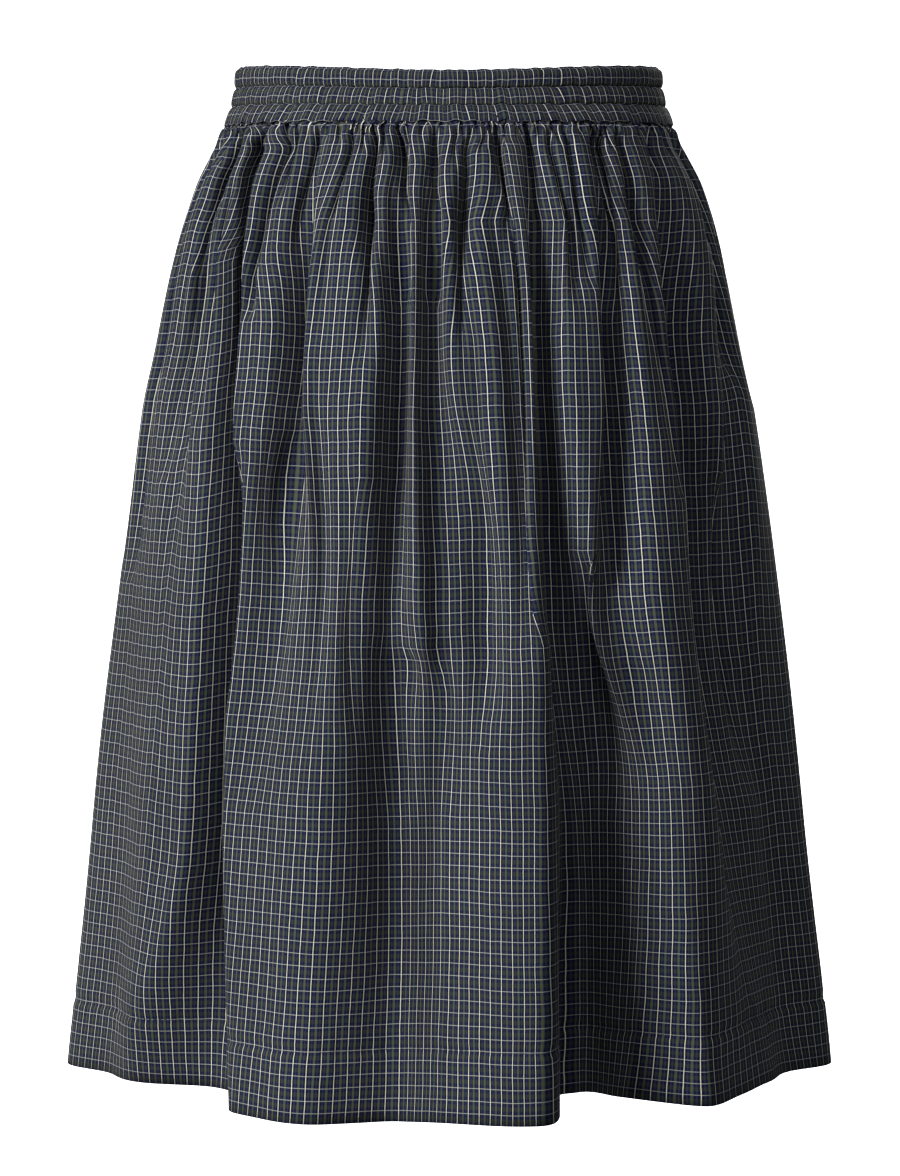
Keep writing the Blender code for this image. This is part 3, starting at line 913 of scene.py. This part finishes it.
@dataclass
class ClothPanel:
    """The front or back of the skirt: a gathered rectangle of cotton, hemmed at the foot."""
    form: SkirtForm
    side: Side
    creases: tuple
    columns: int = 590
    rows: int = 82
    fine_steps: int = 2001
    seam_rows: float = 3.2
    seam_reach: float = 0.07
    hem_rows: float = 2.6
    hem_reach: float = 0.011
    measured: float = 0.25
    wall: float = 0.0008
    tuck_under: float = 0.0042
    tuck_in: float = 0.0031
    tuck_top: float = 0.72
    tuck_fade: float = 0.0064
    tuck_ease: float = 0.0016
    tuck_length: float = 0.015
    cut_width: float = 0.790
    cut_length: float = 0.620
    hem_depth: float = 0.043
    hem_lift: float = 0.00035
    hem_edge: float = 0.004
    hem_groove: float = 0.0009
    hem_groove_width: float = 0.0022
    hem_pucker: float = 0.00030
    hem_pucker_reach: float = 0.012
    hem_waves: tuple = (92, 61, 115)
    puckers: tuple = (Wave(53, 1.0, 0.0), Wave(71, 0.7, 0.9))
    pucker_leans: tuple = (1.0, -1.4)
    pucker_swells: tuple = (Wave(5, 0.35, 0.7), Wave(11, 0.25, 2.1))
    pucker_slant: Wave = Wave(3, 0.5, 1.3)
    pucker_fan: Wave = Wave(9, 90.0, 0.0)
    pucker_height: float = 0.0011
    pucker_top: float = 0.2
    pucker_start: float = 0.0055
    pucker_fade: float = 0.0135
    swells: int = 7
    swell_reach: tuple = (0.05, 0.16)
    swell_slant: float = 0.5
    swell_rise: float = 0.004
    swell_start: float = 0.08
    seam_groove: float = 0.0012
    seam_half_width: float = 0.004
    seed: int = 1
    points: Array = field(default=None, repr=False)
    normals: Array = field(default=None, repr=False)
    cloth: Array = field(default=None, repr=False)

    def lay_out(self) -> None:
        """Work out the middle surface: the form, the gathers on it, then the small relief.

        Columns are warp yarns, evenly spaced in the cloth. Rows are level. The gathers and the
        relief are laid on along the surface's own normals.
        """
        places = self.form.column_places(self.columns, self.side)
        cloth = np.linspace(0.0, self.cut_width, self.columns + 1)
        share = self.row_shares()
        drop = self.form.band_drop + share * (self.form.hem_drop - self.form.band_drop)
        angle, radius = self.form.section(places, drop, self.side)
        x, y = radius * np.sin(angle), radius * np.cos(angle)
        length = self.form.run_length(x, y)
        gathers = self.form.gathers(self.side)
        stage = GatherStage()
        middles = np.interp([gather.place for gather in gathers], places, cloth)
        tight = stage.tightness(gathers, drop, self.form.band_drop)
        pins = np.interp([fold.angles[HIP] for fold in self.form.folds(self.side)], places, cloth)
        line, depth = stage.lay(cloth, length, drop, middles, tight, pins, self.form.band_drop)
        x, y, angle = self.follow(x, y, length, line, depth)
        seam = self.form.seam_drop(self.form.from_front(angle, self.side)) - self.tuck_under
        level = seam + share[:, None] * (self.form.hem_drop - seam)
        turn = -1.0 if self.side is Side.BACK else 1.0
        points = np.stack((turn * x, -turn * y, self.form.waist_drop - level), axis=-1)
        down = self.fallen(points)
        across = np.broadcast_to(cloth / self.cut_width, down.shape)
        points = points + grid_normals(points) * self.relief(across, down)[..., None]
        self.points = points
        self.normals = grid_normals(points)
        self.cloth = np.stack((across * self.cut_width, -down), axis=-1)

    def row_shares(self) -> Array:
        """Spread the rows over the panel, closer together at the seam and the hem line.

        Returns:
            Shares of the way down, from 0 to 1.
        """
        fine = np.linspace(0.0, 1.0, self.fine_steps)
        line = 1.0 - self.hem_depth / self.cut_length
        dense = (1.0 + self.seam_rows * np.exp(-(fine / self.seam_reach) ** 2)
                 + self.hem_rows * np.exp(-((fine - line) / self.hem_reach) ** 2))
        count = running_total((dense[1:] + dense[:-1]) / 2)
        return np.interp(np.linspace(0.0, count[-1], self.rows + 1), count, fine)

    def follow(self, x: Array, y: Array, length: Array, line: Array,
               depth: Array) -> tuple[Array, Array, Array]:
        """Find the points that lie along each row's line and in from it.

        Args:
            x: The rows' plan positions, to the right.
            y: The rows' plan positions, towards the viewer of this side.
            length: Metres along the rows to those positions.
            line: Metres along the rows to the wanted points.
            depth: Metres in from the rows to the wanted points.

        Returns:
            Plan positions, and angles from the panel's middle.
        """
        run_x, run_y = np.gradient(x, axis=1), np.gradient(y, axis=1)
        run = np.hypot(run_x, run_y)
        in_x, in_y = run_y / run, -run_x / run
        found = [np.stack([np.interp(at, lengths, values) for at, lengths, values
                           in zip(line, length, table)]) for table in (x, y, in_x, in_y)]
        size = np.hypot(found[2], found[3])
        new_x = found[0] + found[2] / size * depth
        new_y = found[1] + found[3] / size * depth
        return new_x, new_y, np.arctan2(new_x, new_y)

    def fallen(self, points: Array) -> Array:
        """Metres of cloth below the seam: partly level, partly measured down each column.

        Args:
            points: The grid's points.

        Returns:
            Metres at each point.
        """
        steps = np.linalg.norm(np.diff(points, axis=0), axis=2)
        down = running_total(steps.T).T
        down = down / down[-1:]
        even = down.mean(axis=1, keepdims=True)
        return (even + self.measured * (down - even)) * self.cut_length

    def relief(self, across: Array, down: Array) -> Array:
        """Height of all the small forms over the folds, outwards.

        The puckers are cosines across the cloth that lean as they fall. The tuck takes the top
        edge in under the band, and each crease is a bell across and a flatter bell along.

        Args:
            across: Share of the way across the cloth.
            down: Metres of cloth below the seam.

        Returns:
            Heights in metres.
        """
        column = np.linspace(0.0, FULL_TURN, across.shape[1])[None, :]
        uneven = 1.0 + sum(swell.at(column) for swell in self.pucker_swells)
        lean = self.pucker_slant.at(column) + down * self.pucker_fan.at(column)
        wave = sum(pucker.height * np.cos(pucker.repeats * column + share * lean + pucker.phase)
                   for pucker, share in zip(self.puckers, self.pucker_leans))
        height = self.pucker_height * uneven * wave * np.exp(-(down / self.pucker_fade) ** 2)
        started = smooth_step(down / self.pucker_start)
        height = height * (self.pucker_top + (1.0 - self.pucker_top) * started)
        tucked = self.tuck_top + (1.0 - self.tuck_top) * smooth_step(down / self.tuck_under)
        height = height - self.tuck_in * tucked * np.exp(-(down / self.tuck_fade) ** 4)
        height = height - self.tuck_ease * np.exp(-(down / self.tuck_length) ** 2)
        height = height + self.unevenness(across, down)
        for crease in self.creases:
            along = down - crease.down * self.cut_length
            away = (across - crease.across) * self.cut_width - crease.lean * along
            fall = np.exp(-(away / crease.half_width) ** 2 - (2.0 * along / crease.length) ** 4)
            height = height - crease.depth * MILLIMETRE * fall
        return height + self.hem_relief(across, down) - self.side_groove(across)

    def unevenness(self, across: Array, down: Array) -> Array:
        """Slow swells over the cloth: a few crossed sine waves, each of a random direction.

        Args:
            across: Share of the way across the cloth.
            down: Metres of cloth below the seam.

        Returns:
            Heights in metres.
        """
        random = np.random.default_rng(self.seed)
        total = np.zeros_like(across)
        for _ in range(self.swells):
            reach = random.uniform(*self.swell_reach)
            slant = random.uniform(-self.swell_slant, self.swell_slant)
            phase = random.uniform(0.0, FULL_TURN)
            where = (across * self.cut_width + slant * down) / reach
            total = total + np.sin(FULL_TURN * where + phase) * reach * self.swell_rise
        return total * smooth_step(down / self.swell_start)

    def hem_relief(self, across: Array, down: Array) -> Array:
        """The hem: doubled cloth, a pressed-in row of stitching, and puckers beside it.

        Args:
            across: Share of the way across the cloth.
            down: Metres of cloth below the seam.

        Returns:
            Heights in metres.
        """
        above = self.cut_length - self.hem_depth - down
        lift = self.hem_lift * smooth_step(-above / self.hem_edge)
        groove = self.hem_groove * np.exp(-(above / self.hem_groove_width) ** 2)
        pucker = ripple(across * FULL_TURN, self.hem_waves, self.seed + 7)
        pucker = pucker * self.hem_pucker * np.exp(-(above / self.hem_pucker_reach) ** 2)
        return lift - groove + pucker

    def side_groove(self, across: Array) -> Array:
        """How far the cloth is drawn in at the side seams."""
        to_edge = np.minimum(across, 1.0 - across) * self.cut_width
        return self.seam_groove * np.exp(-(to_edge / self.seam_half_width) ** 2)

    def build(self, name: str) -> bpy.types.Object:
        """Give the surface its two faces and close them at the rims.

        Args:
            name: The piece's name.

        Returns:
            A closed shell.
        """
        self.lay_out()
        rows, columns = self.points.shape[:2]
        outer = self.points + self.normals * self.wall / 2
        inner = self.points - self.normals * self.wall / 2
        faces = grid_faces(rows, columns)
        count = rows * columns
        index = np.arange(count).reshape(rows, columns)
        rim = np.concatenate((index[0, :], index[1:, -1], index[-1, -2::-1], index[-2:0:-1, 0]))
        follow = np.roll(rim, -1)
        edge = np.stack((follow, rim, rim + count, follow + count), axis=1)
        quads = np.concatenate((faces, faces[:, ::-1] + count, edge[:, ::-1]))
        points = np.concatenate((outer.reshape(-1, 3), inner.reshape(-1, 3)))
        cloth = np.concatenate((self.cloth.reshape(-1, 2),) * 2)
        return mesh_object(name, points, quads, cloth[quads])

    def row_at(self, down: float) -> tuple[Array, Array]:
        """Points and normals along one row of the outer face.

        Args:
            down: Metres of cloth below the seam.

        Returns:
            Points and unit normals.
        """
        levels = -self.cloth[:, 0, 1]
        upper = int(np.searchsorted(levels, down)) - 1
        share = (down - levels[upper]) / (levels[upper + 1] - levels[upper])
        points = self.points[upper] * (1 - share) + self.points[upper + 1] * share
        normals = self.normals[upper] * (1 - share) + self.normals[upper + 1] * share
        return points + normals * self.wall / 2, normals


@dataclass
class Waistband:
    """A doubled strip over elastic, with two rows of stitching that make three channels."""
    form: SkirtForm
    around: int = 960
    outer_rows: int = 73
    inner_rows: int = 14
    cap_rows: int = 6
    channels: int = 3
    wall: float = 0.0022
    inset: float = 0.0020
    puff: float = 0.0013
    puff_power: float = 0.5
    stitch_pull: float = 0.0017
    pull_fade: float = 0.12
    ripple_height: float = 0.00075
    ripple_waves: tuple = ((67, 9), (101, -6), (43, 5), (139, 4))
    ripple_reach: float = 0.52
    ripple_calm: float = 0.65
    edge_wave: float = 0.00025
    edge_waves: tuple = (61, 83, 37)
    seam_wave: float = 0.0007
    seam_waves: tuple = (46, 71, 29)
    yarn_lean: float = 0.0014
    lean_waves: tuple = (9, 17, 26, 41)
    yarn_shift: float = 0.0024
    shift_waves: tuple = (5, 8, 13)
    yarn_bunch: float = 0.0008
    bunch_waves: tuple = (31, 47, 67)
    cut_ratio: float = 1.12
    folded_strip: float = 0.08
    seed: int = 5
    lean_seed: int = 45
    shift_seed: int = 65
    bunch_seed: int = 85

    def shape(self) -> tuple[Array, Array]:
        """Sweep the wall section round the waist.

        The section runs up the outside from the seam to the top edge, over the fold, down the
        inside, and back under the seam edge. Its height share is 0 at the top and 1 at the
        seam. Its tilt goes from 0 outside, by a half turn over the fold, to pi inside.

        Returns:
            Points and cloth positions, a row for each step of the section.
        """
        turn = np.linspace(0.0, FULL_TURN, self.around, endpoint=False)[None, :]
        fold = np.linspace(0.0, np.pi, self.cap_rows + 2)[1:-1]
        share = np.concatenate((np.linspace(1.0, 0.0, self.outer_rows), np.zeros(self.cap_rows),
                                np.linspace(0.0, 1.0, self.inner_rows)))[:, None]
        tilt = np.concatenate((np.zeros(self.outer_rows), fold,
                               np.full(self.inner_rows, np.pi)))[:, None]
        outside = np.concatenate((np.ones(self.outer_rows), np.linspace(1.0, 0.0, self.cap_rows),
                                  np.zeros(self.inner_rows)))[:, None]
        half = self.wall / 2
        top = self.form.top_drop(turn) + half
        top = top + self.edge_wave * ripple(turn, self.edge_waves, self.seed)
        seam = self.form.seam_drop(turn)
        seam = seam + self.seam_wave * ripple(turn, self.seam_waves, self.seed + 1)
        drop = top + share * (seam - top) - half * np.sin(tilt)
        radius = self.form.band_radius(turn, share) - self.inset
        radius = radius + half * np.cos(tilt) + outside * self.relief(turn, share)
        points = np.stack((radius * np.sin(turn), -radius * np.cos(turn),
                           self.form.waist_drop - drop), axis=-1)
        return points, self.cloth(turn, share, points)

    def relief(self, turn: Array, share: Array) -> Array:
        """Puffed channels, rows of stitching pulled in, and puckers drawn up by the elastic.

        Each channel bulges by a root of a half sine, and its puckers are whole waves round the
        waist that calm down over the bulge.

        Args:
            turn: Angle from centre front.
            share: Height share, 0 at the top edge.

        Returns:
            Heights in metres over the flat wall.
        """
        along = np.clip(share, 0.0, 1.0) * self.channels
        bulge = np.abs(np.sin(np.pi * along)) ** self.puff_power
        puckers = np.zeros(np.broadcast_shapes(turn.shape, share.shape))
        for channel in range(self.channels):
            inside = np.exp(-((along - channel - 0.5) / self.ripple_reach) ** 4)
            waves = tuple(first + more * channel for first, more in self.ripple_waves)
            puckers = puckers + inside * ripple(turn, waves, self.seed + 11 * channel)
        puckers = puckers * (1.0 - self.ripple_calm * bulge)
        pulled = self.stitch_pull * (1.0 - bulge) ** 2
        pulled = pulled * smooth_step((1.0 - share) / self.pull_fade)
        return self.puff * bulge - pulled + self.ripple_height * puckers

    def cloth(self, turn: Array, share: Array, points: Array) -> Array:
        """Cloth position in metres: round the waist, and down the outside and up the inside.

        Each channel's yarns lean and shift on their own, because the elastic draws them in.

        Args:
            turn: Angle from centre front.
            share: Height share, 0 at the top edge.
            points: The band's points.

        Returns:
            Two numbers for each point.
        """
        step = np.linalg.norm(np.diff(points[0], axis=0, append=points[0, :1]), axis=1)
        around = running_total(step)[:-1] * self.cut_ratio
        down = running_total(np.linalg.norm(np.diff(points[:, 0], axis=0), axis=1))
        down = down[:, None] + 0.0 * turn
        sway = np.zeros_like(down)
        along = np.clip(share, 0.0, 1.0) * self.channels
        for channel in range(self.channels):
            away = along - channel - 0.5
            slope = ripple(turn, self.lean_waves, self.lean_seed + channel)
            shift = ripple(turn, self.shift_waves, self.shift_seed + channel)
            own = self.yarn_lean * slope * away + self.yarn_shift * shift
            sway = np.where(np.abs(away) <= 0.5, own, sway)
        sway = sway + self.yarn_bunch * ripple(turn, self.bunch_waves, self.bunch_seed)
        return np.stack((around[None, :] + sway, down), axis=-1)

    def build(self, name: str) -> bpy.types.Object:
        """Make the closed ring, with the UV seam at centre back.

        Args:
            name: The piece's name.

        Returns:
            A closed shell.
        """
        points, cloth = self.shape()
        rows, columns = points.shape[:2]
        start = columns // 2
        points = np.roll(points, start, axis=1)
        cloth = np.roll(cloth, start, axis=1)
        length = float(cloth[0].max()) + float(np.abs(np.diff(cloth[0, :2, 0])).max())
        cloth[:, :start, 0] -= length
        quads = grid_faces(rows, columns, wrap_rows=True, wrap_columns=True)
        quads = quads[:, ::-1]
        corners = cloth.reshape(-1, 2)[quads]
        last = quads % columns == 0
        wraps = (quads % columns == columns - 1).any(axis=1)[:, None] & last
        corners[..., 0] = np.where(wraps, corners[..., 0] + length, corners[..., 0])
        foot = (quads // columns == rows - 1).any(axis=1)[:, None] & (quads // columns == 0)
        corners[..., 1] = np.where(foot, corners[..., 1] + self.folded_strip, corners[..., 1])
        return mesh_object(name, points.reshape(-1, 3), quads, corners)

    def stitch_line(self, row: int) -> tuple[Array, Array]:
        """Points and outward directions along one row of channel stitching.

        Args:
            row: 1 for the upper row, 2 for the lower.

        Returns:
            Points and unit directions round the band.
        """
        points, _ = self.shape()
        level = int(round((1.0 - row / self.channels) * (self.outer_rows - 1)))
        line = points[level]
        normals = grid_normals(points[:self.outer_rows])[level]
        outward = np.sign((normals * line).sum(axis=1, keepdims=True))
        return line, normals * outward


@dataclass
class StitchRow:
    """A row of lockstitch: short raised threads that dip into the cloth at both ends."""
    pitch: float = 0.0030
    thread: float = 0.00022
    thinnest: float = 0.02
    gap: float = 0.22
    lift: float = 0.00018
    steps: int = 7
    sides: int = 6

    def build(self, name: str, line: Array, outward: Array) -> bpy.types.Object:
        """Lay stitches along a line.

        Each stitch is a tube: its middle follows the line and bows outwards by a half sine,
        and its ends are drawn to a point.

        Args:
            name: The piece's name.
            line: Points on the cloth.
            outward: Unit directions out of the cloth at those points.

        Returns:
            One mesh of all the stitches.
        """
        length = running_total(np.linalg.norm(np.diff(line, axis=0), axis=1))
        count = int(length[-1] / self.pitch)
        start = (np.arange(count) + self.gap / 2) * self.pitch
        share = np.linspace(0.0, 1.0, self.steps)
        at = start[:, None] + share[None, :] * self.pitch * (1 - self.gap)
        middle, out = (np.stack([np.interp(at, length, table[:, k]) for k in range(3)], axis=-1)
                       for table in (line, outward))
        out = unit(out)
        bow = np.sin(np.pi * share)[None, :, None]
        middle = middle + out * (self.lift * bow - self.thread * (1 - bow))
        beside = np.cross(unit(np.gradient(middle, axis=1)), out)
        radius = self.thread * np.sqrt(np.clip(bow, self.thinnest, 1.0))
        turn = np.linspace(0.0, FULL_TURN, self.sides, endpoint=False)[:, None]
        ring = (middle[:, :, None, :]
                + radius[..., None] * (np.cos(turn) * out[:, :, None, :]
                                       + np.sin(turn) * beside[:, :, None, :]))
        return mesh_object(name, ring.reshape(-1, 3), self.faces(count))

    def faces(self, count: int) -> Array:
        """Quads of all the stitches: each a tube with its two ends closed.

        Args:
            count: Number of stitches.

        Returns:
            Four point numbers for each quad.
        """
        each = self.steps * self.sides
        first = np.arange(count)[:, None] * each
        tube = grid_faces(self.steps, self.sides, wrap_columns=True)
        quads = [(tube[None] + first[:, None]).reshape(-1, 4)]
        for base in (0, each - self.sides):
            for low in range(0, self.sides - 2, 2):
                corners = np.array([0, low + 1, low + 2, (low + 3) % self.sides])
                quads.append(first + base + (corners if base == 0 else corners[::-1]))
        return np.concatenate(quads)


@dataclass
class Studio:
    """Pale floor that curves up far away, soft light from the upper left, and the camera."""
    frame_width: int = 900
    frame_height: int = 1176
    scale: float = 0.0006617
    distance: float = 2.3
    centre_column: float = 448.7
    top_row: float = 68.0
    horizon_row: float = 419.0
    sensor: float = 36.0
    lift: float = 0.00098
    aim_level: float = -0.32
    sky: tuple = (0.95, 0.97, 1.0, 1.0)
    sky_strength: float = 0.15
    floor_level: float = -1.05
    floor_hole: float = 0.0005
    floor_start: float = 0.4
    floor_flat: float = 3.4
    floor_reach: float = 6.5
    floor_rise: float = 4.0
    bend_start: float = 0.08
    floor_rings: tuple = (10, 22)
    floor_spokes: int = 96
    floor_colour: tuple = (0.86, 0.86, 0.86, 1.0)
    floor_roughness: float = 0.9
    floor_glow: float = 1.6

    def camera(self, form: SkirtForm) -> None:
        """Put the camera where the photograph was taken from.

        Args:
            form: The skirt's form, which gives the level of the band's top edge.
        """
        data = bpy.data.cameras.new("camera")
        camera = place_object("camera", data)
        across = (self.frame_width / 2 - self.centre_column) * self.scale
        height = form.waist_drop - (self.horizon_row - self.top_row) * self.scale
        aim = form.waist_drop - (self.frame_height / 2 - self.top_row) * self.scale
        camera.location = (across, -self.distance, height)
        tilt = np.arctan2(aim - height, self.distance) + self.lift
        camera.rotation_euler = (np.pi / 2 + tilt, 0.0, 0.0)
        reach = np.hypot(self.distance, aim - height)
        data.sensor_width = self.sensor
        data.lens = self.sensor * reach / (self.frame_height * self.scale)
        bpy.context.scene.camera = camera

    def hang(self, light: Light) -> None:
        """Hang a soft light that faces the middle of the skirt.

        Args:
            light: Its place, size, power and tint.
        """
        data = bpy.data.lights.new(light.name, "AREA")
        data.size = light.size
        data.energy = light.power
        data.color = light.tint
        lamp = place_object(light.name, data)
        lamp.location = light.place
        lamp.visible_camera = False
        aim = np.array((0.0, 0.0, self.aim_level)) - np.array(light.place)
        yaw = np.arctan2(aim[0], -aim[1])
        pitch = np.arctan2(np.hypot(aim[0], aim[1]), -aim[2])
        lamp.rotation_euler = (pitch, 0.0, np.pi + yaw)

    def floor(self) -> None:
        """A turned pale floor: flat in the middle, then a quarter of an oval up out of sight."""
        bend = self.floor_reach - self.floor_flat
        flat_rings, bend_rings = self.floor_rings
        flat = np.linspace(self.floor_start, self.floor_flat, flat_rings)
        curve = np.sin(np.linspace(self.bend_start, np.pi / 2, bend_rings))
        radius = np.concatenate(([self.floor_hole], flat, self.floor_flat + bend * curve))
        beyond = np.clip((radius - self.floor_flat) / bend, 0.0, 1.0)
        level = self.floor_level + self.floor_rise * (1.0 - np.sqrt(1.0 - beyond ** 2))
        turn = np.linspace(0.0, FULL_TURN, self.floor_spokes, endpoint=False)
        points = np.stack((radius[:, None] * np.cos(turn), radius[:, None] * np.sin(turn),
                           level[:, None] + 0.0 * turn), axis=-1)
        quads = grid_faces(len(radius), len(turn), wrap_columns=True)
        floor = mesh_object("floor", points.reshape(-1, 3), quads)
        material, _, shader = new_material("pale_floor")
        shader.inputs["Base Color"].default_value = self.floor_colour
        shader.inputs["Roughness"].default_value = self.floor_roughness
        shader.inputs["Emission Color"].default_value = (1.0, 1.0, 1.0, 1.0)
        shader.inputs["Emission Strength"].default_value = self.floor_glow
        floor.data.materials.append(material)
        floor.visible_diffuse = False
        floor.visible_glossy = False

    def build(self, form: SkirtForm) -> None:
        """Set up the floor, the lights and the camera.

        Args:
            form: The skirt's form.
        """
        bpy.context.scene.view_settings.view_transform = "Standard"
        world = bpy.data.worlds.new("studio")
        world.use_nodes = True
        background = world.node_tree.nodes["Background"]
        background.inputs["Color"].default_value = self.sky
        background.inputs["Strength"].default_value = self.sky_strength
        bpy.context.scene.world = world
        for light in LIGHTS:
            self.hang(light)
        self.floor()
        self.camera(form)


def put_in_frame(piece: bpy.types.Object, material: bpy.types.Material) -> None:
    """Dress a piece, ride it on the skirt's one body, and report it.

    Args:
        piece: The finished piece.
        material: Its material.
    """
    piece.data.materials.append(material)
    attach(piece, "root")
    LOG.info("%s: %d faces", piece.name, len(piece.data.polygons))


def main() -> None:
    """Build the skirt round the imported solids."""
    logging.basicConfig(level=logging.INFO, format="%(name)s %(message)s")
    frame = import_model()
    LOG.info("frame with %d solids", len(frame["nodes"]))
    form = SkirtForm()
    cotton = CheckCotton().build()
    # The band's cotton is a darker copy of the panels' cotton: painted shade for the small shadows of the
    # band's shirring.
    shaded_band_cotton = CheckCotton("shaded_band_cotton", shade=0.84).build()
    thread = SewingThread().build()
    band = Waistband(form)
    band_shell = band.build("waistband_cloth")
    put_in_frame(band_shell, shaded_band_cotton)
    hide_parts("waistband")
    for row in (1, 2):
        line, outward = band.stitch_line(row)
        closed = np.concatenate((line, line[:1])), np.concatenate((outward, outward[:1]))
        stitches = StitchRow().build(f"channel_stitching_{row}", *closed)
        put_in_frame(stitches, thread)
    for side, creases, seed in ((Side.FRONT, FRONT_CREASES, 3), (Side.BACK, BACK_CREASES, 8)):
        panel = ClothPanel(form, side, creases, seed=seed)
        shell = panel.build(f"{side.value}_cloth")
        put_in_frame(shell, cotton)
        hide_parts(f"{side.value}_panel")
        hem = StitchRow(pitch=0.0034).build(f"{side.value}_hem_stitching",
                                            *panel.row_at(panel.cut_length - panel.hem_depth))
        put_in_frame(hem, thread)
    Studio().build(form)


if __name__ == "__main__":
    main()
